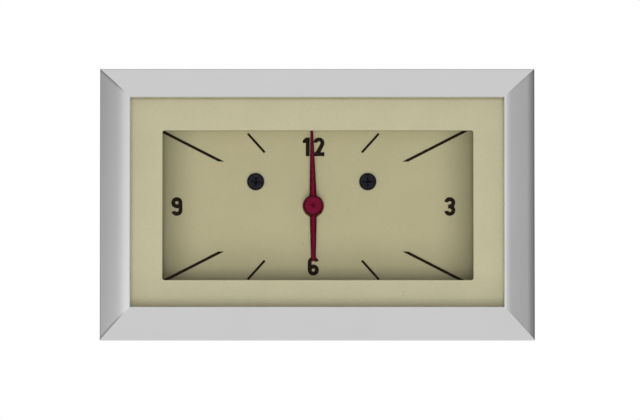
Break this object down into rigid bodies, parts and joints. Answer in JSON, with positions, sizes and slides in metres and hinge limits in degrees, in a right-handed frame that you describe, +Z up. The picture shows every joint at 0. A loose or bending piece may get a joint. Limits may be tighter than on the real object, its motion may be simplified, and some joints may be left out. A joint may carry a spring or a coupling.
{
  "type": "car dashboard clock",
  "caption": "Rectangular dashboard clock with a chrome bezel, cream dial, crimson hands and an electrically rewound balance movement in a rear can.",
  "frame": {"origin": "middle of the bezel, in the plane where its rim seats on the dashboard panel", "axes": "+X to the right seen from the driver, +Y back through the panel, +Z up"},
  "size_m": [0.1084, 0.0527, 0.068],
  "materials": {
    "chrome": "polished",
    "gasket_rubber": "matt",
    "front_glass": "clear",
    "mask_paint": "satin cream",
    "dial_paint": "satin cream",
    "ink": "printed",
    "hand_paint": "satin crimson",
    "black_steel": "blackened",
    "plated_sheet": "zinc plated",
    "brass": "turned",
    "steel": "turned",
    "blue_steel": "tempered",
    "copper_wire": "enamelled copper",
    "fibre": "pressed fibre",
    "bakelite": "moulded",
    "bulb_glass": "clear"
  },
  "bodies": {
    "case": {"bezel": "chrome", "bezel_gasket": "gasket_rubber", "glass": "front_glass", "mask": "mask_paint", "dial": "dial_paint", "dial_print": "ink", "dial_screws": "black_steel", "case_shell": "plated_sheet", "movement_cover": "plated_sheet", "dial_posts": "brass", "power_terminal": "brass", "front_plate": "brass", "back_plate": "brass", "plate_pillars": "brass", "contact_blade": "brass", "hairspring_stud": "brass", "cover_screws": "steel", "mounting_studs": "steel", "pillar_screws": "steel", "plate_screws": "steel", "minute_wheel_post": "steel", "magnet_yoke": "steel", "yoke_screws": "steel", "click_post": "steel", "spring_post": "steel", "drive_spring": "blue_steel", "hairspring": "blue_steel", "coil_winding": "copper_wire", "terminal_insulator": "fibre", "coil_bobbin": "fibre", "contact_block": "fibre", "lamp_holders": "bakelite", "lamp_bulbs": "bulb_glass"},
    "minute_hand": {"minute_hand": "hand_paint", "cannon_pinion": "steel"},
    "hour_hand": {"hour_hand": "hand_paint", "hour_wheel": "brass"},
    "minute_wheel": {"minute_wheel": "brass"},
    "set_knob": {"set_arbor": "steel", "set_knob": "brass"},
    "fourth_wheel": {"fourth_arbor": "steel", "fourth_wheel": "brass"},
    "third_wheel": {"third_arbor": "steel", "third_wheel": "brass"},
    "centre_wheel": {"centre_arbor": "steel", "centre_wheel": "brass", "ratchet_wheel": "steel"},
    "escape_wheel": {"escape_arbor": "steel", "escape_wheel": "brass"},
    "pallet_lever": {"pallet_lever": "steel"},
    "balance": {"balance_staff": "steel", "balance_wheel": "brass"},
    "winding_armature": {"winding_armature": "steel"},
    "drive_pawl": {"drive_pawl": "steel"},
    "holding_click": {"holding_click": "steel"},
    "regulator": {"regulator_lever": "steel"}
  },
  "joints": [
    {"name": "set_knob_turn", "type": "hinge", "parent": "case", "child": "set_knob", "pos_m": [0.01028, 0, -0.0161], "axis": [0, 1, 0], "continuous": true},
    {"name": "minute_hand_turn", "type": "hinge", "parent": "case", "child": "minute_hand", "pos_m": [-0.001, 0, 0], "axis": [0, 1, 0], "continuous": true},
    {"name": "hour_hand_turn", "type": "hinge", "parent": "case", "child": "hour_hand", "pos_m": [-0.001, 0, 0], "axis": [0, 1, 0], "continuous": true},
    {"name": "minute_wheel_turn", "type": "hinge", "parent": "case", "child": "minute_wheel", "pos_m": [-0.001, 0, -0.012], "axis": [0, 1, 0], "continuous": true},
    {"name": "fourth_wheel_turn", "type": "hinge", "parent": "case", "child": "fourth_wheel", "pos_m": [-0.0032, 0, 0.01151], "axis": [0, 1, 0], "continuous": true},
    {"name": "third_wheel_turn", "type": "hinge", "parent": "case", "child": "third_wheel", "pos_m": [0.00715, 0, 0.00815], "axis": [0, 1, 0], "continuous": true},
    {"name": "centre_wheel_turn", "type": "hinge", "parent": "case", "child": "centre_wheel", "pos_m": [-0.001, 0, 0], "axis": [0, 1, 0], "continuous": true},
    {"name": "escape_wheel_turn", "type": "hinge", "parent": "case", "child": "escape_wheel", "pos_m": [-0.01132, 0, 0.00772], "axis": [0, 1, 0], "continuous": true},
    {"name": "pallet_lever_rock", "type": "hinge", "parent": "case", "child": "pallet_lever", "pos_m": [-0.01462, 0, 0.00283], "axis": [0, 1, 0], "range_deg": [-4, 4]},
    {"name": "balance_swing", "type": "hinge", "parent": "case", "child": "balance", "pos_m": [-0.01378, 0, -0.00683], "axis": [0, 1, 0], "range_deg": [-150, 150], "stiffness_Nm_per_rad": 0.000014, "deforming": ["hairspring"]},
    {"name": "armature_swing", "type": "hinge", "parent": "case", "child": "winding_armature", "pos_m": [-0.001, 0, 0], "axis": [0, 1, 0], "range_deg": [0, 11], "deforming": ["drive_spring"]},
    {"name": "drive_pawl_lift", "type": "hinge", "parent": "winding_armature", "child": "drive_pawl", "pos_m": [-0.0008, 0, -0.0078], "axis": [0, -1, 0], "range_deg": [0, 12]},
    {"name": "holding_click_lift", "type": "hinge", "parent": "case", "child": "holding_click", "pos_m": [-0.0125, 0, -0.0015], "axis": [0, -1, 0], "range_deg": [0, 10]},
    {"name": "regulator_shift", "type": "hinge", "parent": "case", "child": "regulator", "pos_m": [-0.01378, 0, -0.00683], "axis": [0, 1, 0], "range_deg": [-18, 18]}
  ],
  "couplings": [
    {"joint": "minute_hand_turn", "follows": "set_knob_turn", "ratio": 1},
    {"joint": "hour_hand_turn", "follows": "set_knob_turn", "ratio": 0.083333},
    {"joint": "minute_wheel_turn", "follows": "set_knob_turn", "ratio": -0.33333},
    {"joint": "third_wheel_turn", "follows": "fourth_wheel_turn", "ratio": -0.13333},
    {"joint": "centre_wheel_turn", "follows": "fourth_wheel_turn", "ratio": 0.016667},
    {"joint": "escape_wheel_turn", "follows": "fourth_wheel_turn", "ratio": -6}
  ]
}
